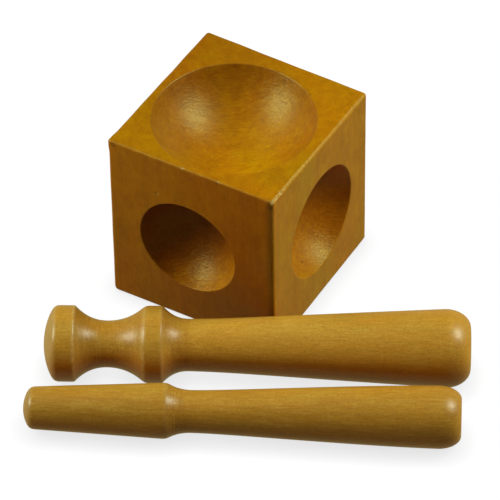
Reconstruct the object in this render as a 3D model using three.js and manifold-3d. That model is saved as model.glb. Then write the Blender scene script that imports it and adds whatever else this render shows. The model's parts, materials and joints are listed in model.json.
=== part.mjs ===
// A wooden dapping block with its two turned punches, in millimetres, +Z up.
// The block has one shallow round bowl in each of its six faces, all of different sizes.
// The punches lie on the bench in front of the block, with their working heads to the left.
// The origin is on the bench, in the middle of the footprint of the three pieces.
import * as THREE from 'three';
import { RoundedBoxGeometry } from 'three/addons/geometries/RoundedBoxGeometry.js';
import { mergeVertices } from 'three/addons/utils/BufferGeometryUtils.js';
import Module from 'manifold-3d';

const wasm = await Module();
wasm.setup();

// Block
const block_width = 76.2;
const block_depth = 77.75;
const block_height = 82.25;
const block_edge_radius = 1.5;

// Bowls: mouth radius, depth, and how far the mouth is off the middle of its face
const top_bowl_radius = 33.7;
const top_bowl_depth = 20.5;
const top_bowl_shift_x = -0.7;
const top_bowl_shift_y = -2.3;
const front_bowl_radius = 22;
const front_bowl_depth = 15.5;
const front_bowl_shift_x = -2;
const front_bowl_shift_z = -1.4;
const right_bowl_radius = 24.8;
const right_bowl_depth = 16.2;
const right_bowl_shift_y = 0.8;
const right_bowl_shift_z = -0.6;
const bottom_bowl_radius = 29;
const bottom_bowl_depth = 17;
const left_bowl_radius = 18;
const left_bowl_depth = 12;
const back_bowl_radius = 15;
const back_bowl_depth = 10.5;
const bowl_cut_overrun = 1;

// Large punch, from the domed head to the rounded end of the grip
const large_length = 172;
const large_dome_depth = 4.8;
const large_head_radius = 15.45;
const large_rim_width = 7.65;
const large_neck_fall = 13.1;
const large_neck_radius = 9.45;
const large_neck_rise = 15.35;
const large_collar_radius = 15.65;
const large_collar_width = 6.95;
const large_grip_fall = 10.3;
const large_grip_radius = 10.6;
const large_end_radius = 15.85;
const large_end_round = 10.15;
const large_end_flat_radius = 8.35;

// Small punch, from the domed tip to the rounded end of the grip
const small_length = 174.45;
const small_dome_depth = 3.1;
const small_tip_radius = 8.5;
const small_shoulder_radius = 11.25;
const small_head_length = 57.25;
const small_grip_fall = 9.8;
const small_grip_radius = 8.55;
const small_end_radius = 12.55;
const small_end_round = 9.05;
const small_end_flat_radius = 7.25;

// Bends of the outlines, as shares of the stretch that bends
const hollow_bend_share = 0.425;
const grip_start_bend_share = 0.15;
const large_grip_bend_share = 0.393;
const large_grip_swell_share = 0.377;
const small_grip_bend_share = 0.65;
const small_grip_swell_share = 0.883;

// How the punches lie beside the block
const large_punch_yaw = THREE.MathUtils.degToRad(28.36);
const small_punch_yaw = THREE.MathUtils.degToRad(27);
const corner_station_share = 0.533;
const corner_clearance = 0.95;
const punch_gap = 5.3;
const small_punch_set_back = 5.2;

// Steps of the rounded shapes
const edge_steps = 2;
const bowl_sides = 40;
const bowl_steps = 4;
const punch_sides = 40;
const punch_steps = 4;

// Looks
const block_wood = { color: '#9a6214', roughness: 0.45, metalness: 0 };
const punch_wood = { color: '#b98d42', roughness: 0.4, metalness: 0 };

// Radius of the sphere whose cap has this mouth radius and this depth
function sphereRadius(mouth_radius, depth) {
  return (mouth_radius ** 2 + depth ** 2) / (2 * depth);
}

// The same surface with shared vertices merged and the triangles that shrank to a line left out
function closedSurface(geometry) {
  const bare = geometry.clone();
  bare.deleteAttribute('normal');
  bare.deleteAttribute('uv');
  const merged = mergeVertices(bare);
  const corners = merged.index.array;
  const kept = [];
  for (let i = 0; i < corners.length; i += 3) {
    const [a, b, c] = corners.subarray(i, i + 3);
    if (a !== b && b !== c && c !== a) {
      kept.push(a, b, c);
    }
  }
  merged.setIndex(kept);
  return merged;
}

function toSolid(geometry) {
  const surface = closedSurface(geometry);
  const vertProperties = new Float32Array(surface.attributes.position.array);
  const triVerts = new Uint32Array(surface.index.array);
  return new wasm.Manifold(new wasm.Mesh({ numProp: 3, vertProperties, triVerts }));
}

function toGeometry(solid) {
  const result = solid.getMesh();
  const geometry = new THREE.BufferGeometry();
  geometry.setAttribute('position', new THREE.BufferAttribute(result.vertProperties, 3));
  geometry.setIndex(new THREE.BufferAttribute(result.triVerts, 1));
  geometry.computeVertexNormals();
  return geometry;
}

// Bowl cutter: a ball's cap that goes on past the mouth, which is at y = 0 with +Y leading out
function bowlCutter(mouth_radius, depth) {
  const ball_radius = sphereRadius(mouth_radius, depth);
  const ball_height = ball_radius - depth;
  const end_angle = Math.asin((bowl_cut_overrun - ball_height) / ball_radius);
  const outline = new THREE.Path();
  outline.absarc(0, ball_height, ball_radius, -Math.PI / 2, end_angle, false);
  outline.lineTo(0, bowl_cut_overrun);
  return new THREE.LatheGeometry(outline.getPoints(bowl_steps), bowl_sides);
}

// Each bowl's way out of the block and the middle of its mouth
const middle_height = block_height / 2;
const bowls = [
  {
    way_out: new THREE.Vector3(0, 0, 1),
    mouth: new THREE.Vector3(top_bowl_shift_x, top_bowl_shift_y, block_height),
    radius: top_bowl_radius,
    depth: top_bowl_depth,
  },
  {
    way_out: new THREE.Vector3(0, -1, 0),
    mouth: new THREE.Vector3(front_bowl_shift_x, -block_depth / 2, middle_height + front_bowl_shift_z),
    radius: front_bowl_radius,
    depth: front_bowl_depth,
  },
  {
    way_out: new THREE.Vector3(1, 0, 0),
    mouth: new THREE.Vector3(block_width / 2, right_bowl_shift_y, middle_height + right_bowl_shift_z),
    radius: right_bowl_radius,
    depth: right_bowl_depth,
  },
  {
    way_out: new THREE.Vector3(0, 0, -1),
    mouth: new THREE.Vector3(0, 0, 0),
    radius: bottom_bowl_radius,
    depth: bottom_bowl_depth,
  },
  {
    way_out: new THREE.Vector3(-1, 0, 0),
    mouth: new THREE.Vector3(-block_width / 2, 0, middle_height),
    radius: left_bowl_radius,
    depth: left_bowl_depth,
  },
  {
    way_out: new THREE.Vector3(0, 1, 0),
    mouth: new THREE.Vector3(0, block_depth / 2, middle_height),
    radius: back_bowl_radius,
    depth: back_bowl_depth,
  },
];

function makeBlock() {
  const cube = new RoundedBoxGeometry(block_width, block_depth, block_height, edge_steps, block_edge_radius);
  cube.translate(0, 0, middle_height);
  let block = toSolid(cube);
  const cutter_axis = new THREE.Vector3(0, 1, 0);
  for (const bowl of bowls) {
    const cutter = bowlCutter(bowl.radius, bowl.depth);
    cutter.applyQuaternion(new THREE.Quaternion().setFromUnitVectors(cutter_axis, bowl.way_out));
    cutter.translate(bowl.mouth.x, bowl.mouth.y, bowl.mouth.z);
    block = block.subtract(toSolid(cutter));
  }
  const mesh = new THREE.Mesh(toGeometry(block), new THREE.MeshStandardMaterial(block_wood));
  mesh.name = 'dapping_block';
  return mesh;
}

// Turned outlines: x is the radius and y the station, counted from the tip of the head

// The domed end, from the axis out to the dome's edge
function addDome(outline, edge_radius, depth) {
  const ball_radius = sphereRadius(edge_radius, depth);
  const edge_angle = Math.atan2(depth - ball_radius, edge_radius);
  outline.absarc(0, ball_radius, ball_radius, -Math.PI / 2, edge_angle, false);
}

// A hollow that falls from the crisp edge reached so far to a level bottom
function addFall(outline, radius, station) {
  const bend = outline.currentPoint.y + hollow_bend_share * (station - outline.currentPoint.y);
  outline.quadraticCurveTo(radius, bend, radius, station);
}

// A hollow that rises from a level bottom to a crisp edge
function addRise(outline, radius, station) {
  const bend = station - hollow_bend_share * (station - outline.currentPoint.y);
  outline.quadraticCurveTo(outline.currentPoint.x, bend, radius, station);
}

// The long grip, which leaves its thinnest place level and swells towards its end
function addGrip(outline, radius, station, bend_share, swell_share) {
  const start = outline.currentPoint.clone();
  const length = station - start.y;
  const swell = radius - start.x;
  outline.bezierCurveTo(
    start.x,
    start.y + grip_start_bend_share * length,
    start.x + swell_share * swell,
    start.y + bend_share * length,
    radius,
    station,
  );
}

// The rounded end of a grip, with a small flat in its middle
function addEnd(outline, radius, flat_radius, round, length) {
  outline.absellipse(flat_radius, length - round, radius - flat_radius, round, 0, Math.PI / 2, false, 0);
  outline.lineTo(0, length);
}

function largePunchOutline() {
  const neck_start = large_dome_depth + large_rim_width;
  const neck = neck_start + large_neck_fall;
  const collar_start = neck + large_neck_rise;
  const collar_end = collar_start + large_collar_width;
  const outline = new THREE.Path();
  addDome(outline, large_head_radius, large_dome_depth);
  outline.lineTo(large_head_radius, neck_start);
  addFall(outline, large_neck_radius, neck);
  addRise(outline, large_collar_radius, collar_start);
  outline.lineTo(large_collar_radius, collar_end);
  addFall(outline, large_grip_radius, collar_end + large_grip_fall);
  const grip_end = large_length - large_end_round;
  addGrip(outline, large_end_radius, grip_end, large_grip_bend_share, large_grip_swell_share);
  addEnd(outline, large_end_radius, large_end_flat_radius, large_end_round, large_length);
  return outline.getPoints(punch_steps);
}

function smallPunchOutline() {
  const outline = new THREE.Path();
  addDome(outline, small_tip_radius, small_dome_depth);
  outline.lineTo(small_shoulder_radius, small_head_length);
  addFall(outline, small_grip_radius, small_head_length + small_grip_fall);
  const grip_end = small_length - small_end_round;
  addGrip(outline, small_end_radius, grip_end, small_grip_bend_share, small_grip_swell_share);
  addEnd(outline, small_end_radius, small_end_flat_radius, small_end_round, small_length);
  return outline.getPoints(punch_steps);
}

function widestRadius(outline) {
  return Math.max(...outline.map((point) => point.x));
}

// Radius of an outline at a station, between the two points on either side of it
function radiusAt(outline, station) {
  const next = outline.findIndex((point) => point.y >= station);
  const a = outline[next - 1];
  const b = outline[next];
  return a.x + ((b.x - a.x) * (station - a.y)) / (b.y - a.y);
}

// The two circles that a lying punch rests on: the line over them is the outermost at mid length
function restingPoints(outline, middle) {
  const heads = outline.filter((point) => point.y < middle);
  const grips = outline.filter((point) => point.y > middle);
  let best = { height: 0 };
  for (const head of heads) {
    for (const grip of grips) {
      const slope = (grip.x - head.x) / (grip.y - head.y);
      const height = head.x + slope * (middle - head.y);
      if (height > best.height) {
        best = { height, head, slope };
      }
    }
  }
  return best;
}

// A punch that lies on the bench, tip at the group's origin and grip along +X before it is turned
function makePunch(name, outline, length) {
  const surface = closedSurface(new THREE.LatheGeometry(outline, punch_sides));
  surface.rotateZ(-Math.PI / 2);
  surface.computeVertexNormals();
  const mesh = new THREE.Mesh(surface, new THREE.MeshStandardMaterial(punch_wood));
  mesh.name = name;
  const rest = restingPoints(outline, length / 2);
  const tilt = Math.atan(rest.slope);
  mesh.rotation.y = -tilt;
  mesh.position.z = rest.head.x * Math.cos(tilt) - rest.head.y * Math.sin(tilt);
  const punch = new THREE.Group();
  punch.add(mesh);
  return punch;
}

// The large punch passes just clear of the block's eased front corner
const large_outline = largePunchOutline();
const large_punch = makePunch('large_punch', large_outline, large_length);
const large_along = new THREE.Vector2(Math.cos(large_punch_yaw), Math.sin(large_punch_yaw));
const large_across = new THREE.Vector2(large_along.y, -large_along.x);
const corner_centre = new THREE.Vector2(
  block_width / 2 - block_edge_radius,
  block_edge_radius - block_depth / 2,
);
const corner_station = corner_station_share * large_length;
const corner_reach = block_edge_radius + corner_clearance + radiusAt(large_outline, corner_station);
const large_tip = corner_centre
  .clone()
  .addScaledVector(large_across, corner_reach)
  .addScaledVector(large_along, -corner_station);
large_punch.position.set(large_tip.x, large_tip.y, 0);
large_punch.rotation.z = large_punch_yaw;

// The small punch lies in front of it, side by side, with a gap between their widest places
const small_outline = smallPunchOutline();
const small_punch = makePunch('small_punch', small_outline, small_length);
const small_along = new THREE.Vector2(Math.cos(small_punch_yaw), Math.sin(small_punch_yaw));
const punch_spacing = widestRadius(large_outline) + punch_gap + widestRadius(small_outline);
const small_tip = large_tip
  .clone()
  .addScaledVector(large_along, large_length / 2 - small_punch_set_back)
  .addScaledVector(large_across, punch_spacing)
  .addScaledVector(small_along, -small_length / 2);
small_punch.position.set(small_tip.x, small_tip.y, 0);
small_punch.rotation.z = small_punch_yaw;

const dapping_set = new THREE.Group();
dapping_set.add(makeBlock(), large_punch, small_punch);
const footprint = new THREE.Box3().setFromObject(dapping_set, true);
const footprint_middle = footprint.getCenter(new THREE.Vector3());
dapping_set.position.set(-footprint_middle.x, -footprint_middle.y, 0);

export default dapping_set;
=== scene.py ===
# Looks of a wooden dapping block and its two turned punches, in metres, +Z up.
import json
import math

import bpy
import numpy as np
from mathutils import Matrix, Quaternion, Vector, noise


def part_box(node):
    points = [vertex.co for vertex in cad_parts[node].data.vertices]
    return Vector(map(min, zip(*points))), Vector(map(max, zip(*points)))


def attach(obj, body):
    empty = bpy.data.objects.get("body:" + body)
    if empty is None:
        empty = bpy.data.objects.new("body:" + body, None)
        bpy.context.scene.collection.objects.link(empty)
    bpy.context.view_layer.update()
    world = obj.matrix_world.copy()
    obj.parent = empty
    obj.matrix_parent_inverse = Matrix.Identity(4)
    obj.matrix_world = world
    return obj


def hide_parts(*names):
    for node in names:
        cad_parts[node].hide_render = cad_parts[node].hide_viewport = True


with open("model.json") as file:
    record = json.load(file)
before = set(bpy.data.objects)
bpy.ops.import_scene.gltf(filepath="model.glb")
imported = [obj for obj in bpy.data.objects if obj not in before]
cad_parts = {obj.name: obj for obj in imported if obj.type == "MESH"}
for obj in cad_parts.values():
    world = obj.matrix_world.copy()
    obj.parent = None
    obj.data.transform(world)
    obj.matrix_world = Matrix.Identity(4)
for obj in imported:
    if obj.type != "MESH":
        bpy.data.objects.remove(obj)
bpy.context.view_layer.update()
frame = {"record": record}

# How far the block's edges are eased, the crisper radius of the front edge of the top, how far in from its
# ends that blends into the rest, and how far the rims of the bowls are eased
EDGE_RADIUS = 0.0015
CRISP_RADIUS = 0.0008
CORNER_BLEND = (0.003, 0.008)
RIM_EASE = 0.00045

# The block's mesh: steps along a side of a face, and rings in a bowl, on its rim, on the flat and on the
# edges. Points that agree to the last step of so many in a metre are one vertex.
SIDE_STEPS = 92
BOWL_RINGS = 24
RIM_RINGS = 4
FLAT_RINGS = 9
EDGE_RINGS = 7
MERGE_STEPS = 1e7

# Bowls, by the face that they are in: mouth radius, depth, and the mouth's place off the face's middle
# as distances along the two row axes that lie in the face, in X, Y, Z order
BOWLS = {
    "top": dict(out=(0, 0, 1), radius=0.0337, depth=0.0205, shift=(-0.0007, -0.0023)),
    "front": dict(out=(0, -1, 0), radius=0.022, depth=0.0155, shift=(-0.002, -0.0014)),
    "right": dict(out=(1, 0, 0), radius=0.0248, depth=0.0162, shift=(0.0008, -0.0006)),
    "bottom": dict(out=(0, 0, -1), radius=0.029, depth=0.017, shift=(0, 0)),
    "left": dict(out=(-1, 0, 0), radius=0.018, depth=0.012, shift=(0, 0)),
    "back": dict(out=(0, 1, 0), radius=0.015, depth=0.0105, shift=(0, 0)),
}

# The block was sawn a little out of square: how far its corners lie off the true box, by the corner's side
# on each axis. The corner that isn't listed lies true.
CORNER_SHIFTS = {
    (-1, -1, 1): (-0.00027, 0.00003, 0.00015),
    (1, -1, 1): (-0.00009, 0.0, 0.00005),
    (1, 1, 1): (0.00004, -0.00033, -0.00056),
    (-1, 1, 1): (0.0002, 0.0009, 0.00019),
    (-1, -1, -1): (0.00018, -0.00042, 0.0),
    (1, -1, -1): (0.00026, 0.00048, 0.0),
    (1, 1, -1): (-0.0001, 0.00091, 0.0),
}

# How the stain took on each face that shows, with painted light and shade laid in: the front face is painted
# darker towards its lower right, each bowl is painted darker on the wall that lies in shade and lighter
# where the lamps reach it, and the middle of the top bowl is painted lighter and those of the side bowls
# darker. For
# the sawn flat and for the bowl: red and green share of the wood's colour at four corners, which run low
# low, high low, low high, high high along the two row axes that lie in the face, in X, Y, Z order. Then how
# far the middle of the bowl differs from that, how rough the wax left the flat and the bowl, and how
# strongly the strokes in the bowl show.
STAIN_AND_PAINTED_LIGHT = {
    "top": {
        "flat": ((1.03, 0.95), (1.08, 1.1), (0.86, 0.8), (1.1, 1.16)),
        "bowl": ((0.82, 0.7), (1.14, 1.0), (0.68, 0.55), (1.01, 0.91)),
        "middle": (0.42, 0.66),
        "rough": (0.345, 0.345),
        "strokes": 1.0,
    },
    "front": {
        "flat": ((1.0, 0.76), (0.48, 0.26), (1.32, 1.05), (0.94, 0.72)),
        "bowl": ((0.72, 0.46), (1.42, 1.42), (0.4, 0.14), (0.8, 0.54)),
        "middle": (-0.42, -0.64),
        "rough": (0.39, 0.38),
        "strokes": 1.8,
    },
    "right": {
        "flat": ((1.08, 0.98), (1.1, 1.12), (1.13, 1.12), (1.05, 1.18)),
        "bowl": ((1.12, 1.02), (1.04, 0.88), (0.94, 0.6), (0.94, 0.58)),
        "middle": (-0.16, -0.24),
        "rough": (0.39, 0.39),
        "strokes": 1.15,
    },
}
PLAIN_STAIN = {
    "flat": ((1.0, 0.9),) * 4,
    "bowl": ((0.9, 0.74),) * 4,
    "middle": (0, 0),
    "rough": (0.4, 0.4),
    "strokes": 1.0,
}

# Plan angle along which the top bowl was sanded last
SANDING_ANGLE = math.radians(32)

# Wear of the block's edges: how far in it is full and how far in it ends, how deep it goes, how long its
# waves are, and the usual and the greatest share of the depth along them
WEAR_FULL = EDGE_RADIUS * 0.3
WEAR_REACH = 0.0016
WEAR_DEPTH = 0.00012
WEAR_WAVE = 0.011
WEAR_USUAL = 0.5
WEAR_MOST = 1.5

# How much stain is rubbed off every edge, and what is added: on the top edges; on the top's right edge at
# its near end and how much less at its far end, which is wear and painted highlight; and on the upright edge
# at the front right, at its foot and how much more at its head, which is painted light against the shade
# along that edge, with some wear
RUBBED_EVERY = 0.1
RUBBED_TOP = 0.05
RUB_AND_HIGHLIGHT_RIGHT_NEAR = 0.6
RUB_AND_HIGHLIGHT_RIGHT_FALL = 0.35
LIGHT_AND_RUB_UPRIGHT_LOW = 0.05
LIGHT_AND_RUB_UPRIGHT_RISE = 0.5

# The front face is darker close to its right edge: how far in, how near the face, and how much darker
DARK_BAND_WIDTH = 0.0035
DARK_BAND_DEPTH = EDGE_RADIUS / 3
DARK_BAND_SHARE = 0.4

# Chips knocked out of the edges: place from the block's middle, reach, depth and how much bare wood shows.
# Within the core's share of the reach they are full.
CHIPS = (
    ((0.0381, -0.0318, 0.0411), 0.0016, 0.00055, 1.0),
    ((0.0381, -0.0352, 0.0411), 0.0014, 0.0004, 0.9),
    ((0.0381, -0.0285, 0.0408), 0.0009, 0.0003, 0.8),
    ((0.0381, -0.0381, 0.0408), 0.0016, 0.0004, 0.9),
    ((-0.0037, -0.0388, 0.0411), 0.0011, 0.00025, 0.35),
    ((0.0124, -0.0388, 0.0409), 0.001, 0.0003, 0.25),
    ((0.0381, 0.0170, 0.0411), 0.0012, 0.0002, 0.5),
    ((-0.0381, -0.0388, -0.0411), 0.0022, 0.0004, 0.4),
    ((-0.0381, 0.0100, 0.0411), 0.0015, 0.00025, 0.4),
    ((0.0381, 0.0388, -0.0205), 0.0014, 0.00025, 0.5),
)
CHIP_CORE = 0.3

# The punches' meshes: sides, length of a step along the outline, how many finer ones it is smoothed in, and
# the steps in which domes, curves, grips and butt flats are drawn
PUNCH_SIDES = 128
OUTLINE_STEP = 0.00045
FINE_STEPS = 4
DOME_STEPS = 60
CURVE_STEPS = 40
GRIP_STEPS = 120
FLAT_STEPS = 30

# How far the edges on the outlines are softened, the crisp ones and the soft ones, how many times that the
# smoothing reaches, and the shapes of the hollows and the grips
EDGE_BLUR = 0.0003
SOFT_EDGE_BLUR = 0.0011
BLUR_REACH = 3
HOLLOW_BEND_SHARE = 0.425
GRIP_START_BEND_SHARE = 0.15

# Width of the rubbed edges on the punches, the lower front side on which shade is painted as shares across
# and up, and the span over which that painted shade darkens
RUBBED_WIDTH = 0.0006
PAINTED_SHADE_SIDE = (-0.9, -0.436)
PAINTED_SHADE_SPAN = (0.45, 1.0)

# How much the lathe's rings show where they are faint, and how gently their stretches and the domes end
FAINT_RINGS = 0.24
RINGS_START = 0.0005
RINGS_END = 0.003
DOME_END = 0.0008

# Camera, which aims at a place off the middle of the block's footprint
CAMERA_AZIMUTH = math.radians(30.356)
CAMERA_ELEVATION = math.radians(43.176)
CAMERA_ROLL = math.radians(-0.581)
CAMERA_DISTANCE = 1.6031
CAMERA_LENS = 281.16
CAMERA_SENSOR = 36.0
CAMERA_CLIP = (0.01, 30.0)
AIM_FROM_BLOCK = Vector((0.01192, -0.0123, 0.02339))

# Border of a small mark: how ragged it is, and the share of the reach where the mark is full
SPOT_RAGGED = 1.6
SPOT_CORE = 0.45


class Nodes:
    """A new material's node tree, with short names for the nodes that the woods use."""

    def __init__(self, name):
        self.material = bpy.data.materials.new(name)
        self.material.use_nodes = True
        self.tree = self.material.node_tree
        self.tree.nodes.clear()

    def add(self, kind, settings=None, **inputs):
        """A node. An input is named with _ for a space, or by its number after a _."""
        made = self.tree.nodes.new("ShaderNode" + kind)
        for key, value in (settings or {}).items():
            setattr(made, key, value)
        for key, value in inputs.items():
            name = int(key[1:]) if key[1:].isdigit() else key.replace("_", " ")
            socket = made.inputs[name]
            if isinstance(value, bpy.types.NodeSocket):
                self.tree.links.new(value, socket)
            else:
                socket.default_value = value
        return made

    def attribute(self, name, output="Fac"):
        return self.add("Attribute", {"attribute_name": name}).outputs[output]

    def noise(self, vector, scale, detail, roughness, distortion=0.0, shift=(0, 0, 0)):
        """Noise whose grains are 1/scale long along each axis of the vector."""
        placed = self.add("Mapping", Vector=vector, Scale=scale, Location=shift).outputs[0]
        made = self.add("TexNoise", Vector=placed, Scale=1.0, Detail=detail, Roughness=roughness,
                        Distortion=distortion)
        return made.outputs["Fac"]

    def ranged(self, value, low, high, to_low=0.0, to_high=1.0, smooth=False):
        settings = {"interpolation_type": "SMOOTHSTEP" if smooth else "LINEAR"}
        made = self.add("MapRange", settings, Value=value, From_Min=low, From_Max=high,
                        To_Min=to_low, To_Max=to_high)
        return made.outputs[0]

    def maths(self, kind, a, b):
        return self.add("Math", {"operation": kind}, _0=a, _1=b).outputs[0]

    def times(self, a, b):
        return self.maths("MULTIPLY", a, b)

    def plus(self, a, b):
        return self.maths("ADD", a, b)

    def mixed(self, factor, a, b, kind="MIX"):
        a, b = ((*c, 1) if isinstance(c, tuple) and len(c) == 3 else c for c in (a, b))
        settings = {"data_type": "RGBA", "blend_type": kind}
        return self.add("Mix", settings, _0=factor, _6=a, _7=b).outputs[2]

    def spot(self, place, centre, reach, ragged):
        """1 at a place and 0 past its reach, with a ragged border."""
        away = self.add("VectorMath", {"operation": "DISTANCE"}, _0=place, _1=centre).outputs["Value"]
        border = self.times(self.maths("SUBTRACT", ragged, 0.5), reach * SPOT_RAGGED)
        return self.ranged(self.plus(away, border), reach, reach * SPOT_CORE, smooth=True)


def smooth_step(value, low, high):
    share = np.clip((value - low) / (high - low), 0, 1)
    return share * share * (3 - 2 * share)


def lengths(vectors):
    return np.linalg.norm(vectors, axis=1, keepdims=True)


def make_object(name, points, faces, attributes):
    mesh = bpy.data.meshes.new(name)
    mesh.from_pydata([tuple(p) for p in points], [], faces)
    mesh.update()
    mesh.shade_smooth()
    for key, values in attributes.items():
        kind, field = ("FLOAT_VECTOR", "vector") if values.ndim == 2 else ("FLOAT", "value")
        layer = mesh.attributes.new(key, kind, "POINT")
        layer.data.foreach_set(field, np.ascontiguousarray(values, np.float32).ravel())
    made = bpy.data.objects.new(name, mesh)
    bpy.context.scene.collection.objects.link(made)
    return made


# The block

block_low, block_high = (np.array(corner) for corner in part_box("dapping_block"))
block_middle = (block_low + block_high) / 2
block_half = (block_high - block_low) / 2


def square_loop(steps):
    """Points round the square from -1 to 1, corners included, anticlockwise."""
    side = np.linspace(-1, 1, steps, endpoint=False)
    one = np.ones(steps)
    u = np.concatenate([side, one, -side, -one])
    v = np.concatenate([-one, side, one, -side])
    return np.stack([u, v], 1)


def eased(points):
    """Points on the sharp box, moved onto the box with eased edges. The top's front edge is crispest."""
    right = 1 - smooth_step(block_half[0] - points[:, 0], *CORNER_BLEND)
    front = 1 - smooth_step(block_half[1] + points[:, 1], *CORNER_BLEND)
    top = 1 - smooth_step(block_half[2] - points[:, 2], *CORNER_BLEND)
    radius = (EDGE_RADIUS - (EDGE_RADIUS - CRISP_RADIUS) * front * top * (1 - right))[:, None]
    inner = block_half - radius
    core = np.clip(points, -inner, inner)
    away = points - core
    return core + radius * away / np.maximum(lengths(away), 1e-9)


def out_of_square(points):
    """Points on the true box, moved with its corners."""
    share = points / block_half
    moved = points.copy()
    for corner, shift in CORNER_SHIFTS.items():
        weight = np.prod((1 + share * np.array(corner)) / 2, axis=1)
        moved += weight[:, None] * np.array(shift)
    return moved


def face_axes(bowl):
    """The face's way out, its row axis, two more that turn anticlockwise about it, and the mouth's place."""
    out = np.array(bowl["out"], float)
    axis = int(np.argmax(np.abs(out)))
    first, second = [i for i in range(3) if i != axis]
    if np.dot(np.cross(np.eye(3)[first], np.eye(3)[second]), out) < 0:
        first, second = second, first
    shift = dict(zip(sorted((first, second)), bowl["shift"]))
    return out, axis, first, second, np.array([shift[first], shift[second]], float)


def stain_and_painted_light_at(corners, share):
    """The stain, with painted light and shade, at places given as shares from -1 to 1 along a face's row
    axes, in X, Y, Z order.
    """
    corners = np.array(corners)
    a, b = (smooth_step(share[:, k:k + 1], -1, 1) for k in (0, 1))
    low = (1 - a) * (1 - b) * corners[0] + a * (1 - b) * corners[1]
    mixed = low + (1 - a) * b * corners[2] + a * b * corners[3]
    return np.column_stack([mixed, mixed[:, 1]])


def face_stain_and_painted_light(name, face_share, bowl_share, turned):
    """The stain on a face, with painted light and shade. Places are shares of the face and of the bowl, and
    turned is 1 in the bowl.
    """
    stain_and_painted_light = STAIN_AND_PAINTED_LIGHT.get(name, PLAIN_STAIN)
    sawn = stain_and_painted_light_at(stain_and_painted_light["flat"], face_share)
    inward = 1 - np.clip(np.sum(bowl_share**2, axis=1, keepdims=True), 0, 1)
    red, green = stain_and_painted_light["middle"]
    cut = stain_and_painted_light_at(stain_and_painted_light["bowl"], bowl_share) * (1 + inward * np.array([red, green, green]))
    flat_rough, bowl_rough = stain_and_painted_light["rough"]
    return {
        "stain_and_painted_light": sawn + turned[:, None] * (cut - sawn),
        "rough": flat_rough + turned * (bowl_rough - flat_rough),
        "strokes": turned * stain_and_painted_light["strokes"],
    }


def ring_faces(rings, count):
    """Faces between the point in the middle and rings of so many points round it, anticlockwise."""
    faces = []
    for i in range(count):
        j = (i + 1) % count
        faces.append((0, 1 + i, 1 + j))
        for ring in range(rings - 1):
            a = 1 + ring * count
            b = a + count
            faces.append((a + i, b + i, b + j, a + j))
    return faces


def bowl_face(name):
    """One face of the block as rings from the bowl's bottom out to the sharp edges of the box."""
    out, axis, first, second, centre = face_axes(BOWLS[name])
    half = np.array([block_half[first], block_half[second]])
    loop = square_loop(SIDE_STEPS)
    ray = loop * (half - EDGE_RADIUS) - centre
    reach = np.linalg.norm(ray, axis=1)
    ray = ray / reach[:, None]
    count = len(loop)

    radius = BOWLS[name]["radius"]
    depth = BOWLS[name]["depth"]
    ball = (radius**2 + depth**2) / (2 * depth)
    rim_angle = math.asin(radius / ball)
    last_angle = rim_angle - RIM_EASE / ball
    arc = ball * last_angle

    points = [np.array([[*centre, -depth]])]
    turn = [np.zeros((1, 3))]
    turned = [np.ones(1)]
    rim = [np.full(1, radius)]

    def add_ring(places, height, along, mask, from_rim):
        """A ring of points, the way along the surface to it, and how far the tool of the bowl went there."""
        points.append(np.column_stack([places, np.full(count, height)]))
        turn.append(np.column_stack([np.broadcast_to(along, count), ray]))
        turned.append(np.full(count, mask))
        rim.append(np.broadcast_to(from_rim, count))

    for k in range(1, BOWL_RINGS + 1):
        angle = last_angle * k / BOWL_RINGS
        start = np.array([ball * math.sin(angle), ball - depth - ball * math.cos(angle)])
        add_ring(centre + ray * start[0], start[1], ball * angle, 1.0, abs(ball * angle - ball * rim_angle))
    corner = np.array([radius, 0.0])
    end = np.array([radius + RIM_EASE, 0.0])
    for k in range(1, RIM_RINGS + 1):
        t = k / RIM_RINGS
        r, z = (1 - t) ** 2 * start + 2 * t * (1 - t) * corner + t**2 * end
        along = arc + 2 * RIM_EASE * t
        add_ring(centre + ray * r, z, along, 1.0 - t, abs(along - ball * rim_angle))
    # The flat's rings lie closer together at the rim and at the edges
    for share in 0.5 - 0.5 * np.cos(np.linspace(0, math.pi, FLAT_RINGS + 1)[1:]):
        distance = end[0] + (reach - end[0]) * share
        add_ring(centre + ray * distance[:, None], 0.0, arc + distance, 0.0, distance - radius)
    for k in range(1, EDGE_RINGS + 1):
        step = EDGE_RADIUS * math.tan(math.pi / 4 * k / EDGE_RINGS)
        add_ring(loop * (half - EDGE_RADIUS + step), 0.0, arc + reach, 0.0, radius)

    flat = np.concatenate(points)
    inside = np.arange(len(flat)) < len(flat) - count * EDGE_RINGS
    u, v = np.eye(3)[first], np.eye(3)[second]
    sharp = flat[:, :1] * u + flat[:, 1:2] * v + (block_half[axis] + flat[:, 2:3]) * out
    placed = np.where(inside[:, None], sharp, eased(sharp))

    turned = np.concatenate(turned)
    across = sorted((first, second))
    middle = centre if first < second else centre[::-1]
    face_share = placed[:, across] / block_half[across]
    bowl_share = (placed[:, across] - middle) / radius
    marks = {
        "turn": np.concatenate(turn),
        "turned": turned,
        "rim": np.concatenate(rim),
        **face_stain_and_painted_light(name, face_share, bowl_share, turned),
    }
    return placed, ring_faces(len(points) - 1, count), marks


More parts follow.
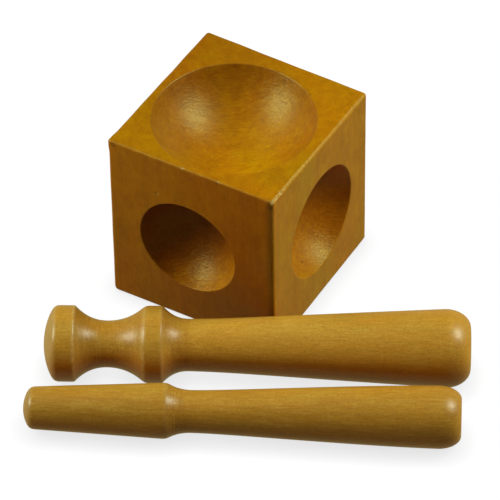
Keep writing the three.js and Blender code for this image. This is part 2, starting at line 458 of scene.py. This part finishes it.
def edge_wear_and_highlight(points, turned):
    """How near each point is to an edge of the block, its paleness from rubbed stain and painted light, and
    the way out.
    """
    inset = block_half - np.abs(points)
    edge = np.where(turned > 0, block_half.max(), np.sort(inset, axis=1)[:, 1])
    near = 1 - smooth_step(edge, WEAR_FULL, WEAR_REACH)
    outward = np.where(inset < WEAR_REACH, np.sign(points), 0)
    outward = outward / np.maximum(lengths(outward), 1)
    top = points[:, 2] > block_half[2] - WEAR_REACH
    right = points[:, 0] > block_half[0] - WEAR_REACH
    front = points[:, 1] < WEAR_REACH - block_half[1]
    along = (points[:, 1] + block_half[1]) / (2 * block_half[1])
    high = smooth_step(points[:, 2], -block_half[2], block_half[2])
    rubbed = RUBBED_EVERY + RUBBED_TOP * top
    # Painted highlight with wear on the top's right edge; painted light with a little wear up the front
    # upright edge
    rubbed = rubbed + (top & right) * (RUB_AND_HIGHLIGHT_RIGHT_NEAR - RUB_AND_HIGHLIGHT_RIGHT_FALL * along)
    rubbed = rubbed + (front & right) * (LIGHT_AND_RUB_UPRIGHT_LOW + LIGHT_AND_RUB_UPRIGHT_RISE * high**2)
    return near, near * np.minimum(rubbed, 1), outward


def dark_band(points, turned):
    """1 on the front face close to its right edge, 0 elsewhere."""
    near_edge = smooth_step(points[:, 0], block_half[0] - DARK_BAND_WIDTH, block_half[0] - EDGE_RADIUS)
    return near_edge * (points[:, 1] < DARK_BAND_DEPTH - block_half[1]) * (1 - turned)


def make_block():
    points, faces, parts = [], [], []
    for name in BOWLS:
        first = sum(len(part) for part in points)
        placed, made, marks = bowl_face(name)
        points.append(placed)
        faces += [tuple(first + i for i in face) for face in made]
        parts.append(marks)
    points = np.concatenate(points)

    # The same point made by neighbouring faces becomes one vertex
    keys = np.round(points * MERGE_STEPS).astype(np.int64)
    _, keep, place = np.unique(keys, axis=0, return_index=True, return_inverse=True)
    place = place.ravel()
    faces = [tuple(int(place[i]) for i in face) for face in faces]
    points = points[keep]
    marks = {key: np.concatenate([part[key] for part in parts])[keep] for key in parts[0]}

    near, worn_and_lit, outward = edge_wear_and_highlight(points, marks["turned"])
    stain_and_painted_light = marks["stain_and_painted_light"] * (1 - DARK_BAND_SHARE * dark_band(points, marks["turned"])[:, None])
    wave = np.array([noise.noise(Vector(p) / WEAR_WAVE) for p in points])
    dent = WEAR_DEPTH * near * np.clip(WEAR_USUAL + wave, 0, WEAR_MOST)
    chipped = np.zeros(len(points))
    for centre, reach, depth, bare in CHIPS:
        away = np.linalg.norm(points - np.array(centre), axis=1)
        hit = near * (1 - smooth_step(away, reach * CHIP_CORE, reach))
        dent += depth * hit
        chipped = np.maximum(chipped, hit * bare)
    points = points - outward * dent[:, None]

    along = np.array([math.cos(SANDING_ANGLE), math.sin(SANDING_ANGLE), 0])
    across = np.array([-math.sin(SANDING_ANGLE), math.cos(SANDING_ANGLE), 0])
    attributes = {
        "grain": np.column_stack([points[:, 2], points[:, 0], points[:, 1]]),
        "sanded": np.column_stack([points @ along, points @ across, points[:, 2]]),
        "turn": marks["turn"],
        "strokes": marks["strokes"],
        "stain_and_painted_light": stain_and_painted_light,
        "rough": marks["rough"],
        "wear_and_painted_light": worn_and_lit,
        "chipped": chipped,
        "rim_wear": np.exp(-((marks["rim"] / RIM_EASE) ** 2)),
    }
    return make_object("wooden_block", out_of_square(points) + block_middle, faces, attributes)


# The punches

def bezier(controls, steps=CURVE_STEPS):
    """Points along a curve with three or four controls, without its first."""
    t = np.linspace(0, 1, steps + 1)[1:, None]
    p = [np.array(c, float) for c in controls]
    if len(p) == 3:
        return (1 - t) ** 2 * p[0] + 2 * t * (1 - t) * p[1] + t**2 * p[2]
    return (1 - t) ** 3 * p[0] + 3 * t * (1 - t) ** 2 * p[1] + 3 * t**2 * (1 - t) * p[2] + t**3 * p[3]


class Outline:
    """A turned outline as radius and station, from the tip of the head on the axis."""

    def __init__(self):
        self.points = [np.array([[0.0, 0.0]])]

    def last(self):
        return self.points[-1][-1]

    def dome(self, radius, depth, fullness):
        """A ball's cap, made fuller towards its edge by a share of a half ellipse."""
        across = radius * np.sin(np.linspace(0, math.pi / 2, DOME_STEPS))[1:]
        ball = (radius**2 + depth**2) / (2 * depth)
        cap = ball - np.sqrt(ball**2 - across**2)
        ellipse = depth * (1 - np.sqrt(np.maximum(1 - (across / radius) ** 2, 0)))
        self.points.append(np.column_stack([across, cap + fullness * (ellipse - cap)]))

    def line(self, radius, station):
        """Straight on to a radius at a station."""
        self.points.append(np.linspace(self.last(), (radius, station), CURVE_STEPS)[1:])

    def fall(self, radius, station):
        """A curve down into a hollow, where it ends along the axis."""
        start = self.last()
        bend = start[1] + HOLLOW_BEND_SHARE * (station - start[1])
        self.points.append(bezier([start, (radius, bend), (radius, station)]))

    def rise(self, radius, station):
        """A curve up out of a hollow, where it starts along the axis."""
        start = self.last()
        bend = station - HOLLOW_BEND_SHARE * (station - start[1])
        self.points.append(bezier([start, (start[0], bend), (radius, station)]))

    def grip(self, radius, station, bend_share, swell_share):
        """A long swell that starts along the axis. The shares place its second bend."""
        start = self.last()
        length = station - start[1]
        swell = radius - start[0]
        first = (start[0], start[1] + GRIP_START_BEND_SHARE * length)
        second = (start[0] + swell_share * swell, start[1] + bend_share * length)
        self.points.append(bezier([start, first, second, (radius, station)], GRIP_STEPS))

    def end(self, flat_radius, length):
        """A rounded end with a small flat."""
        radius, station = self.last()
        angle = np.linspace(0, math.pi / 2, CURVE_STEPS)[1:]
        across = flat_radius + (radius - flat_radius) * np.cos(angle)
        along = station + (length - station) * np.sin(angle)
        self.points.append(np.column_stack([across, along]))
        self.points.append(np.linspace((flat_radius, length), (0, length), FLAT_STEPS)[1:])

    @staticmethod
    def blurred(radius, station, step, blur):
        """An outline smoothed over a stretch, carried on past the axis at both ends."""
        reach = int(math.ceil(BLUR_REACH * blur / step))
        weights = np.exp(-0.5 * (np.arange(-reach, reach + 1) * step / blur) ** 2)
        weights /= weights.sum()
        radius = np.concatenate([-radius[reach:0:-1], radius, -radius[-2:-reach - 2:-1]])
        station = np.concatenate([station[reach:0:-1], station, station[-2:-reach - 2:-1]])
        return np.convolve(radius, weights, "valid"), np.convolve(station, weights, "valid")

    def even(self, soft_edges):
        """The outline at even steps. Its crisp edges are softened a little, and more at the soft ones."""
        rough = np.concatenate(self.points)
        distance = np.concatenate([[0], np.cumsum(lengths(np.diff(rough, axis=0)))])
        count = int(round(distance[-1] / OUTLINE_STEP))
        fine = np.linspace(0, distance[-1], count * FINE_STEPS + 1)
        radius = np.interp(fine, distance, rough[:, 0])
        station = np.interp(fine, distance, rough[:, 1])
        crisp = self.blurred(radius, station, fine[1], EDGE_BLUR)
        soft = self.blurred(radius, station, fine[1], SOFT_EDGE_BLUR)
        share = np.zeros(len(fine))
        for place in soft_edges:
            share += np.exp(-(((station - place) / (BLUR_REACH * SOFT_EDGE_BLUR)) ** 2))
        radius, station = (a + np.minimum(share, 1) * (b - a) for a, b in zip(crisp, soft))
        radius[0] = radius[-1] = 0
        return radius[::FINE_STEPS], station[::FINE_STEPS], fine[::FINE_STEPS]


def large_outline():
    outline = Outline()
    outline.dome(0.01545, 0.0048, fullness=0.35)
    outline.line(0.01545, 0.01245)
    outline.fall(0.00945, 0.02555)
    outline.rise(0.01565, 0.0409)
    outline.line(0.01565, 0.04785)
    outline.fall(0.0106, 0.05815)
    outline.grip(0.01585, 0.16185, bend_share=0.393, swell_share=0.377)
    outline.end(flat_radius=0.00835, length=0.172)
    return outline


def small_outline():
    outline = Outline()
    outline.dome(0.0085, 0.0031, fullness=0.3)
    outline.line(0.01125, 0.05725)
    outline.fall(0.00855, 0.06705)
    outline.grip(0.01255, 0.1654, bend_share=0.65, swell_share=0.883)
    outline.end(flat_radius=0.00725, length=0.17445)
    return outline


# What the lathe left on each punch, by station: fine grooves with their width and depth, stretches where
# the tool's rings show, and edges that were sanded soft. Also where its dome ends, which edges handling
# rubbed pale and how much, how light its wood is, how strongly its streaks show, and how strongly shade is
# painted down its lower front side.
LARGE_MARKS = {
    "grooves": ((0.0588, 0.00025, 0.00006), (0.0605, 0.0002, 0.00004), (0.0401, 0.0002, 0.00004)),
    "ringed": ((0.0125, 0.0415), (0.0478, 0.0605)),
    "soft": (0.0048, 0.0409),
    "domed": 0.0048,
    "rubbed": ((0.0049, 0.2), (0.0125, 0.9), (0.0407, 0.6), (0.0479, 0.45)),
    "tone": 1.13,
    "figure": 1.0,
    "painted_shade_strength": 1.0,
}
SMALL_MARKS = {
    "grooves": ((0.0588, 0.0002, 0.00005), (0.0600, 0.0002, 0.00005), (0.0613, 0.0002, 0.00004)),
    "ringed": ((0.0572, 0.0665),),
    "soft": (0.0031, 0.05725),
    "domed": 0.0031,
    "rubbed": ((0.0032, 0.2), (0.0572, 0.25)),
    "tone": 1.01,
    "figure": 1.7,
    "painted_shade_strength": 0.1,
}


def butt_mount(name):
    """The place and the way out of a punch's butt in the frame."""
    mount = {m["name"]: m for m in frame["record"]["mounts"]}[name]
    return Vector(mount["pos_m"]), Vector(mount["axis"]).normalized()


def punch_attributes(local, turn, radius, station, marks):
    """What the wood needs to know at each point of a punch, whose first axis runs along it."""
    along = local[:, 0]
    ringed = np.full(len(local), FAINT_RINGS)
    for start, end in marks["ringed"]:
        inside = smooth_step(along, start - RINGS_START, start + RINGS_START)
        inside = inside - smooth_step(along, end - RINGS_END, end)
        ringed += (1 - FAINT_RINGS) * inside
    # At both ends the border of the painted shade runs straight across
    widest = np.argmax(radius)
    full = np.where(station < marks["domed"], np.interp(marks["domed"], station, radius), radius)
    full[widest:] = radius[widest]
    full = np.concatenate([full[:1], np.repeat(full[1:-1], PUNCH_SIDES), full[-1:]])
    painted_shade = smooth_step(local[:, 1:] @ np.array(PAINTED_SHADE_SIDE) / full, *PAINTED_SHADE_SPAN)
    rubbed = np.zeros(len(local))
    for place, share in marks["rubbed"]:
        rubbed += share * np.exp(-(((along - place) / RUBBED_WIDTH) ** 2))
    return {
        "grain": local,
        "turn": turn,
        "ringed": ringed,
        "domed": 1 - smooth_step(along, marks["domed"] - DOME_END, marks["domed"] + DOME_END),
        "rubbed": rubbed,
        "painted_shade": marks["painted_shade_strength"] * painted_shade,
        "tone": np.full(len(local), marks["tone"]),
        "figure": np.full(len(local), marks["figure"]),
    }


def make_punch(name, outline, mount_name, marks):
    """A punch as rings round its turned outline, laid where the frame has its butt."""
    radius, station, distance = outline.even(marks["soft"])
    for place, width, depth in marks["grooves"]:
        radius = radius - depth * np.exp(-((station - place) / width) ** 2)
    butt, along = butt_mount(mount_name)
    tip = butt - along * outline.last()[1]
    across = Vector((0, 0, 1)).cross(along).normalized()
    up = along.cross(across)
    angle = np.linspace(0, 2 * math.pi, PUNCH_SIDES, endpoint=False) - math.pi / 2
    circle = np.column_stack([np.cos(angle), np.sin(angle)])
    points = [np.array([[station[0], 0, 0]])]
    turn = [np.array([[0.0, 1.0, 0.0]])]
    for r, s, d in zip(radius[1:-1], station[1:-1], distance[1:-1]):
        points.append(np.column_stack([np.full(PUNCH_SIDES, s), circle * r]))
        turn.append(np.column_stack([np.full(PUNCH_SIDES, d), circle]))
    points.append(np.array([[station[-1], 0, 0]]))
    turn.append(np.array([[distance[-1], 1.0, 0.0]]))
    local = np.concatenate(points)
    last = len(local) - 1
    # The rings start at the tip and are seen from outside, so their faces turn the other way
    faces = [(face[0], *face[:0:-1]) for face in ring_faces(len(radius) - 2, PUNCH_SIDES)]
    for i in range(PUNCH_SIDES):
        j = (i + 1) % PUNCH_SIDES
        faces.append((last, last - PUNCH_SIDES + i, last - PUNCH_SIDES + j))
    placed = local @ np.array([along, across, up]) + np.array(tip)
    attributes = punch_attributes(local, np.concatenate(turn), radius, station, marks)
    return make_object(name, placed, faces, attributes)


# The woods
# Each noise: the attribute that it lies along, how many grains to a metre on each of its axes, detail,
# roughness, distortion and shift.
# Each layer of colour: its noise, where that starts to show it and shows it in full, its least and greatest
# share, its colour, and the attribute that bounds it, if any.
# Each row of relief: a noise, its weight, and the attribute that bounds it, if any.

# The middle part of what a noise gives
NOISE_SPAN = (0.3, 0.7)

# Wood of the block: an amber stain that took unevenly, on fine close grain that runs up the block
BLOCK_NOISES = {
    "drift": ("grain", (10, 26, 26), 3.0, 0.5, 0.3),
    "patch": ("grain", (30, 75, 75), 4.0, 0.6, 0.4, (4.1, 0.7, 2.9)),
    "mottle": ("grain", (130, 210, 210), 4.0, 0.65, 0.7, (1.9, 3.3, 7.2)),
    "band": ("grain", (11, 420, 420), 3.0, 0.6, 0.3, (3.1, 1.7, 0.4)),
    "fibre": ("grain", (160, 1500, 1500), 3.0, 0.7),
    "pore": ("grain", (300, 2600, 2600), 1.0, 0.5, 0.0, (0.2, 5.3, 2.2)),
    "speck": ("grain", (1500, 1500, 1500), 2.0, 0.6),
    "ragged": ("grain", (700, 900, 900), 2.0, 0.6),
    "scratch": ("sanded", (150, 900, 700), 3.0, 0.62, 1.1),
    "circling": ("turn", (1100, 8, 8), 2.0, 0.6, 0.5),
    "fleck": ("turn", (900, 30, 30), 2.0, 0.6, 0.6, (0.7, 1.1, 5.2)),
}
# Gold where the stain took least, orange brown where it took most
BLOCK_GROUND = ((0.36, 0.64), (0.41, 0.206, 0.0005), (0.465, 0.176, 0.0005))
BLOCK_LAYERS = (
    ("patch", (0.4, 0.66), (0.0, 0.55), (0.38, 0.145, 0.001), None),
    ("mottle", (0.48, 0.66), (0.0, 0.42), (0.29, 0.1, 0.001), None),
    ("mottle", (0.46, 0.3), (0.0, 0.34), (0.56, 0.29, 0.002), None),
    ("band", (0.45, 0.66), (0.0, 0.2), (0.25, 0.08, 0.001), None),
    ("fibre", (0.48, 0.7), (0.0, 0.25), (0.25, 0.085, 0.001), None),
    ("fibre", (0.45, 0.28), (0.0, 0.15), (0.56, 0.31, 0.005), None),
    ("pore", (0.64, 0.72), (0.0, 0.35), (0.14, 0.04, 0.001), None),
    # Strokes of the tool and the paper in the bowls
    ("scratch", (0.52, 0.68), (0.0, 0.3), (0.25, 0.085, 0.001), "strokes"),
    ("scratch", (0.46, 0.32), (0.0, 0.25), (0.6, 0.36, 0.002), "strokes"),
    ("circling", (0.44, 0.32), (0.0, 0.2), (0.56, 0.32, 0.002), "strokes"),
    ("fleck", (0.64, 0.7), (0.0, 0.4), (0.14, 0.035, 0.001), "strokes"),
)
# Bare wood where the stain is rubbed off the edges, which on the top's right edge and the upright front edge
# also stands for painted highlight and light: how ragged it is, where it shows, and its colour
BARE_RAGGED = (0.35, 0.65, 0.45, 1.0)
BARE_SHOWN = (0.03, 0.7, 0.0, 0.65)
BARE_COLOR = (0.67, 0.38, 0.045)
# Bare wood on the rims of the bowls and in the chips
BARE_LAYERS = (
    ("ragged", (0.4, 0.6), (0.0, 0.07), (0.62, 0.39, 0.07), "rim_wear"),
    ("ragged", (0.3, 0.5), (0.0, 0.9), (0.7, 0.52, 0.18), "chipped"),
)
BLOCK_RELIEF = (
    ("fibre", 0.4, None),
    ("circling", 2.2, "strokes"),
    ("scratch", 3.4, "strokes"),
    ("speck", 0.25, None),
)
BLOCK_RELIEF_DEPTH = 0.00004
BLOCK_ROUGH_VARIES = 0.03
BLOCK_FINISH = dict(gloss=0.6, tint=(0.94, 1.0, 0.3, 1.0), coat=0.0)

# Small marks, as places from the block's middle: reach, and how strong
PALE_MARKS = (
    ((-0.0149, -0.0389, 0.0222), 0.0008, 0.45),
    ((0.0014, -0.0389, 0.0397), 0.0007, 0.3),
    ((-0.0037, -0.0389, 0.0411), 0.0008, 0.4),
    ((0.0051, -0.0389, 0.0410), 0.0007, 0.3),
    ((0.0381, 0.0328, 0.0405), 0.0008, 0.3),
    ((0.0051, 0.0302, 0.0398), 0.0006, 0.35),
)
DARK_MARKS = (
    ((-0.0163, -0.0389, 0.0225), 0.0009, 0.5),
    ((0.0006, -0.0389, 0.0372), 0.0007, 0.4),
    ((0.0124, -0.0389, 0.0406), 0.0009, 0.5),
    ((0.0365, -0.0389, 0.0385), 0.0022, 0.5),
    ((-0.0354, -0.0389, 0.0395), 0.0016, 0.4),
    ((0.0323, -0.0054, -0.0210), 0.0010, 0.6),
    ((0.0300, -0.0080, -0.0215), 0.0007, 0.4),
    ((0.0171, 0.0248, 0.0388), 0.0010, 0.3),
    ((0.0183, 0.0259, 0.0411), 0.0008, 0.35),
    ((-0.0176, 0.0263, 0.0402), 0.0010, 0.3),
    ((0.0051, 0.0302, 0.0398), 0.0012, 0.3),
)
DARK_MARK_COLOR = (0.10, 0.02, 0.002)
PALE_MARK_COLOR = (0.66, 0.44, 0.12)

# Wood of the punches: pale and close, with fine streaks along them, rings of the lathe, and clear varnish
PUNCH_NOISES = {
    "drift": ("grain", (12, 70, 70), 3.0, 0.55, 0.3),
    "band": ("grain", (28, 330, 330), 3.0, 0.6, 0.6, (3.1, 1.7, 0.4)),
    "streak": ("grain", (95, 1000, 1000), 2.0, 0.6, 0.4, (1.3, 2.7, 6.4)),
    "fibre": ("grain", (260, 2200, 2200), 3.0, 0.65),
    "dash": ("grain", (600, 2200, 2200), 1.0, 0.5, 0.0, (0.2, 5.3, 2.2)),
    "speck": ("grain", (1500, 1500, 1500), 2.0, 0.6),
    "lathe": ("turn", (1250, 0.9, 0.9), 3.0, 0.7),
}
PUNCH_GROUND = ((0.34, 0.66), (0.55, 0.338, 0.034), (0.61, 0.31, 0.022))
PUNCH_LAYERS = (
    ("band", (0.42, 0.66), (0.0, 0.28), (0.44, 0.2, 0.014), "figure"),
    ("streak", (0.45, 0.65), (0.0, 0.21), (0.40, 0.18, 0.012), "figure"),
    ("streak", (0.46, 0.34), (0.0, 0.16), (0.66, 0.42, 0.08), "figure"),
    ("fibre", (0.45, 0.66), (0.0, 0.34), (0.38, 0.17, 0.014), None),
    ("fibre", (0.45, 0.3), (0.0, 0.3), (0.70, 0.47, 0.11), None),
    ("speck", (0.5, 0.66), (0.0, 0.46), (0.36, 0.155, 0.012), None),
    ("dash", (0.64, 0.71), (0.0, 0.3), (0.2, 0.07, 0.006), None),
    ("lathe", (0.45, 0.65), (0.0, 0.3), (0.36, 0.17, 0.015), "ringed"),
    ("lathe", (0.45, 0.3), (0.0, 0.3), (0.72, 0.5, 0.13), "ringed"),
)
# End grain on the domes with a painted sheen, painted shade where the rings show and most in the hollows,
# painted shade down the lower front side, and rubbed edges
DOME_GRAIN_AND_SHEEN = (0.50, 0.37, 0.15)
DOME_GRAIN_AND_SHEEN_SHARE = 0.4
HOLLOW_SHADE_TINT = (0.92, 0.87, 0.8)
HOLLOW_SHADE_SHARE = 0.8
PAINTED_SHADE_TINT = (0.7, 0.45, 0.3)
RUBBED_LAYERS = (("streak", (0.38, 0.6), (0.1, 0.6), (0.72, 0.54, 0.18), "rubbed"),)
PUNCH_RELIEF = (
    ("fibre", 0.4, None),
    ("lathe", 6.0, "ringed"),
    ("speck", 0.2, None),
)
PUNCH_RELIEF_DEPTH = 0.00003
PUNCH_ROUGH = (0.36, 0.4)
RINGED_ROUGH = -0.05
PUNCH_ROUGH_VARIES = 0.02
PUNCH_FINISH = dict(gloss=0.45, tint=(0.92, 1.0, 0.6, 1.0), coat=0.5)
COAT_ROUGHNESS = 0.33


def make_noises(nodes, table):
    sources = dict.fromkeys(row[0] for row in table.values())
    vectors = {source: nodes.attribute(source, "Vector") for source in sources}
    return {name: nodes.noise(vectors[source], *rest) for name, (source, *rest) in table.items()}


def make_ground(nodes, noises, span, first, second):
    """Two colours that drift into each other."""
    return nodes.mixed(nodes.ranged(noises["drift"], *span, smooth=True), first, second)


def layered(nodes, noises, color, layers):
    """A colour under layers of others."""
    for name, span, shares, layer_color, bound in layers:
        factor = nodes.ranged(noises[name], *span, *shares)
        if bound:
            factor = nodes.times(factor, nodes.attribute(bound))
        color = nodes.mixed(factor, color, layer_color)
    return color


def relief(nodes, noises, rows, depth):
    """The bump of a surface."""
    height = 0.0
    for name, weight, bound in rows:
        part = nodes.times(noises[name], weight)
        if bound:
            part = nodes.times(part, nodes.attribute(bound))
        height = nodes.plus(height, part)
    return nodes.add("Bump", Strength=1.0, Distance=depth, Height=height).outputs[0]


def varied(nodes, value, by, amount):
    """A value that a noise takes up and down by an amount."""
    return nodes.plus(value, nodes.ranged(by, *NOISE_SPAN, -amount, amount))


def finished(nodes, color, roughness, bump, gloss, tint, coat):
    """The shader and output that both woods end in."""
    shader = nodes.add("BsdfPrincipled", Base_Color=color, Roughness=roughness, Normal=bump)
    shader.inputs["Specular IOR Level"].default_value = gloss
    shader.inputs["Specular Tint"].default_value = tint
    shader.inputs["Coat Weight"].default_value = coat
    shader.inputs["Coat Roughness"].default_value = COAT_ROUGHNESS
    nodes.add("OutputMaterial", Surface=shader.outputs[0])
    return nodes.material


def in_grain(place):
    """A place from the block's middle, in the order that the grain attribute has."""
    return (place[2], place[0], place[1])


def make_block_wood():
    nodes = Nodes("stained_block_wood")
    noises = make_noises(nodes, BLOCK_NOISES)
    color = make_ground(nodes, noises, *BLOCK_GROUND)
    color = layered(nodes, noises, color, BLOCK_LAYERS)
    # The stain multiplies the wood, and with it the painted light and shade of each face and bowl
    color = nodes.mixed(1.0, color, nodes.attribute("stain_and_painted_light", "Vector"), "MULTIPLY")

    # Pale edges: bare wood, with painted highlight and light on the top's right edge and the upright front
    # edge
    bare = nodes.times(nodes.attribute("wear_and_painted_light"), nodes.ranged(noises["ragged"], *BARE_RAGGED))
    color = nodes.mixed(nodes.ranged(bare, *BARE_SHOWN), color, BARE_COLOR)
    color = layered(nodes, noises, color, BARE_LAYERS)
    grain = nodes.attribute("grain", "Vector")
    for marks, mark_color in ((DARK_MARKS, DARK_MARK_COLOR), (PALE_MARKS, PALE_MARK_COLOR)):
        for place, reach, strength in marks:
            spot = nodes.spot(grain, in_grain(place), reach, noises["ragged"])
            color = nodes.mixed(nodes.times(spot, strength), color, mark_color)

    bump = relief(nodes, noises, BLOCK_RELIEF, BLOCK_RELIEF_DEPTH)
    roughness = varied(nodes, nodes.attribute("rough"), noises["patch"], BLOCK_ROUGH_VARIES)
    roughness = varied(nodes, roughness, noises["speck"], BLOCK_ROUGH_VARIES)
    return finished(nodes, color, roughness, bump, **BLOCK_FINISH)


def make_punch_wood():
    nodes = Nodes("varnished_punch_wood")
    noises = make_noises(nodes, PUNCH_NOISES)
    ringed = nodes.attribute("ringed")
    color = make_ground(nodes, noises, *PUNCH_GROUND)
    color = layered(nodes, noises, color, PUNCH_LAYERS)
    # End grain on the domes, with a painted sheen
    color = nodes.mixed(nodes.times(nodes.attribute("domed"), DOME_GRAIN_AND_SHEEN_SHARE), color, DOME_GRAIN_AND_SHEEN)
    # Painted shade: darker where the rings show, most in the hollows
    color = nodes.mixed(nodes.times(ringed, HOLLOW_SHADE_SHARE), color, HOLLOW_SHADE_TINT, "MULTIPLY")
    # Painted shade: the lower front side of each punch is multiplied darker and redder
    color = nodes.mixed(nodes.attribute("painted_shade"), color, PAINTED_SHADE_TINT, "MULTIPLY")
    color = layered(nodes, noises, color, RUBBED_LAYERS)
    tone = nodes.attribute("tone")
    color = nodes.add("VectorMath", {"operation": "SCALE"}, _0=color, Scale=tone).outputs[0]

    bump = relief(nodes, noises, PUNCH_RELIEF, PUNCH_RELIEF_DEPTH)
    roughness = nodes.ranged(noises["drift"], *NOISE_SPAN, *PUNCH_ROUGH)
    roughness = nodes.plus(roughness, nodes.times(ringed, RINGED_ROUGH))
    roughness = varied(nodes, roughness, noises["speck"], PUNCH_ROUGH_VARIES)
    return finished(nodes, color, roughness, bump, **PUNCH_FINISH)


# Floor, backdrop, world, lamps and camera

FLOOR_RADIUS = 8.0
WALL_HEIGHT = 1.7
STAGE_SIDES = 96

# The floor's colour for the light that it sends back, what polished wood mirrors of it, and the grey and the
# glow that show it white
STAGE_PLAIN = (0.2, 0.082, 0.028, 1)
MIRRORED = (0.42, 0.34, 0.15, 1)
SHOWN_GREY = 0.06
SHOWN_GLOW = 0.97

# The shade that hugs the object where it stands on the floor
SHADE_REACH = 0.009
SHADE_DEPTH = 0.27
SHADE_SAMPLES = 16

# Lamps, which all face the block: plan angle of their place from +X, elevation, size, power, and whether
# polished wood mirrors them
WORLD_STRENGTH = 0.03
LAMP_DISTANCE = 1.1
LAMPS = {
    "lamp_right": (32, 47, 0.5, 6.4, True),
    "lamp_left": (-144.5, 36, 0.5, 5.9, True),
    "fill_right": (45, 24, 0.8, 4.7, False),
    "fill_left": (-175, 40, 0.8, 3.9, False),
}


def make_stage_white():
    """A pale surface that shows white, and keeps the soft shadow that falls on it."""
    nodes = Nodes("stage_white")
    path = nodes.add("LightPath").outputs
    plain = nodes.add("BsdfDiffuse", Color=STAGE_PLAIN)
    lit = nodes.add("BsdfDiffuse", Color=(SHOWN_GREY, SHOWN_GREY, SHOWN_GREY, 1))
    shade = nodes.add("AmbientOcclusion", {"samples": SHADE_SAMPLES}, Distance=SHADE_REACH)
    shown = nodes.ranged(shade.outputs["AO"], 0.0, 1.0, SHOWN_GLOW * (1 - SHADE_DEPTH), SHOWN_GLOW)
    glow = nodes.add("Emission", Color=(1, 1, 1, 1), Strength=shown)
    bright = nodes.add("AddShader", _0=lit.outputs[0], _1=glow.outputs[0])
    mirrored = nodes.add("Emission", Color=MIRRORED, Strength=1.0)
    both = nodes.add("MixShader", _0=path["Is Camera Ray"], _1=plain.outputs[0], _2=bright.outputs[0])
    both = nodes.add("MixShader", _0=path["Is Glossy Ray"], _1=both.outputs[0], _2=mirrored.outputs[0])
    nodes.add("OutputMaterial", Surface=both.outputs[0])
    return nodes.material


def make_stage():
    """A wide round floor with a low wall at its far edge."""
    angle = np.linspace(0, 2 * math.pi, STAGE_SIDES, endpoint=False)
    ring = np.column_stack([np.cos(angle), np.sin(angle)]) * FLOOR_RADIUS
    floor = [(x, y, 0.0) for x, y in ring]
    wall = [(x, y, WALL_HEIGHT) for x, y in ring]
    faces = [tuple(range(STAGE_SIDES))]
    for i in range(STAGE_SIDES):
        j = (i + 1) % STAGE_SIDES
        faces.append((i, j, STAGE_SIDES + j, STAGE_SIDES + i))
    mesh = bpy.data.meshes.new("stage")
    mesh.from_pydata(floor + wall, [], faces)
    mesh.materials.append(make_stage_white())
    stage = bpy.data.objects.new("stage", mesh)
    bpy.context.scene.collection.objects.link(stage)

    world = bpy.data.worlds.new("studio")
    bpy.context.scene.world = world
    world.use_nodes = True
    background = world.node_tree.nodes["Background"]
    background.inputs["Color"].default_value = (1, 1, 1, 1)
    background.inputs["Strength"].default_value = WORLD_STRENGTH


def make_lamp(name, azimuth, elevation, size, power, mirrored):
    """A soft round lamp that faces the block."""
    light = bpy.data.lights.new(name, "AREA")
    light.shape = "DISK"
    light.size = size
    light.energy = power
    lamp = bpy.data.objects.new(name, light)
    a, e = math.radians(azimuth), math.radians(elevation)
    toward = Vector((math.cos(a) * math.cos(e), math.sin(a) * math.cos(e), math.sin(e)))
    lamp.location = Vector(block_middle) + toward * LAMP_DISTANCE
    lamp.rotation_mode = "QUATERNION"
    lamp.rotation_quaternion = (-toward).to_track_quat("-Z", "Y")
    lamp.visible_glossy = mirrored
    bpy.context.scene.collection.objects.link(lamp)


def make_camera():
    data = bpy.data.cameras.new("camera")
    data.sensor_fit = "HORIZONTAL"
    data.sensor_width = CAMERA_SENSOR
    data.lens = CAMERA_LENS
    data.clip_start, data.clip_end = CAMERA_CLIP
    camera = bpy.data.objects.new("camera", data)
    bpy.context.scene.collection.objects.link(camera)
    level = math.cos(CAMERA_ELEVATION)
    back = Vector((
        math.sin(CAMERA_AZIMUTH) * level,
        -math.cos(CAMERA_AZIMUTH) * level,
        math.sin(CAMERA_ELEVATION),
    ))
    aim = Vector((block_middle[0], block_middle[1], block_low[2])) + AIM_FROM_BLOCK
    camera.location = aim + back * CAMERA_DISTANCE
    camera.rotation_mode = "QUATERNION"
    camera.rotation_quaternion = (-back).to_track_quat("-Z", "Y") @ Quaternion((0, 0, 1), CAMERA_ROLL)
    bpy.context.scene.camera = camera


def dress(piece, material, node, body):
    """Gives a piece its wood, hides the part of the node that it stands for, and hangs it on what it rides
    on.
    """
    piece.data.materials.append(material)
    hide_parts(node)
    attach(piece, body)


punch_wood = make_punch_wood()
block = make_block()
large_punch = make_punch("turned_large_punch", large_outline(), "large_punch_butt", LARGE_MARKS)
small_punch = make_punch("turned_small_punch", small_outline(), "small_punch_butt", SMALL_MARKS)
dress(block, make_block_wood(), "dapping_block", "block")
dress(large_punch, punch_wood, "large_punch", "large_punch_body")
dress(small_punch, punch_wood, "small_punch", "small_punch_body")

make_stage()
for lamp_name, lamp_values in LAMPS.items():
    make_lamp(lamp_name, *lamp_values)
make_camera()
bpy.context.scene.view_settings.view_transform = "Standard"
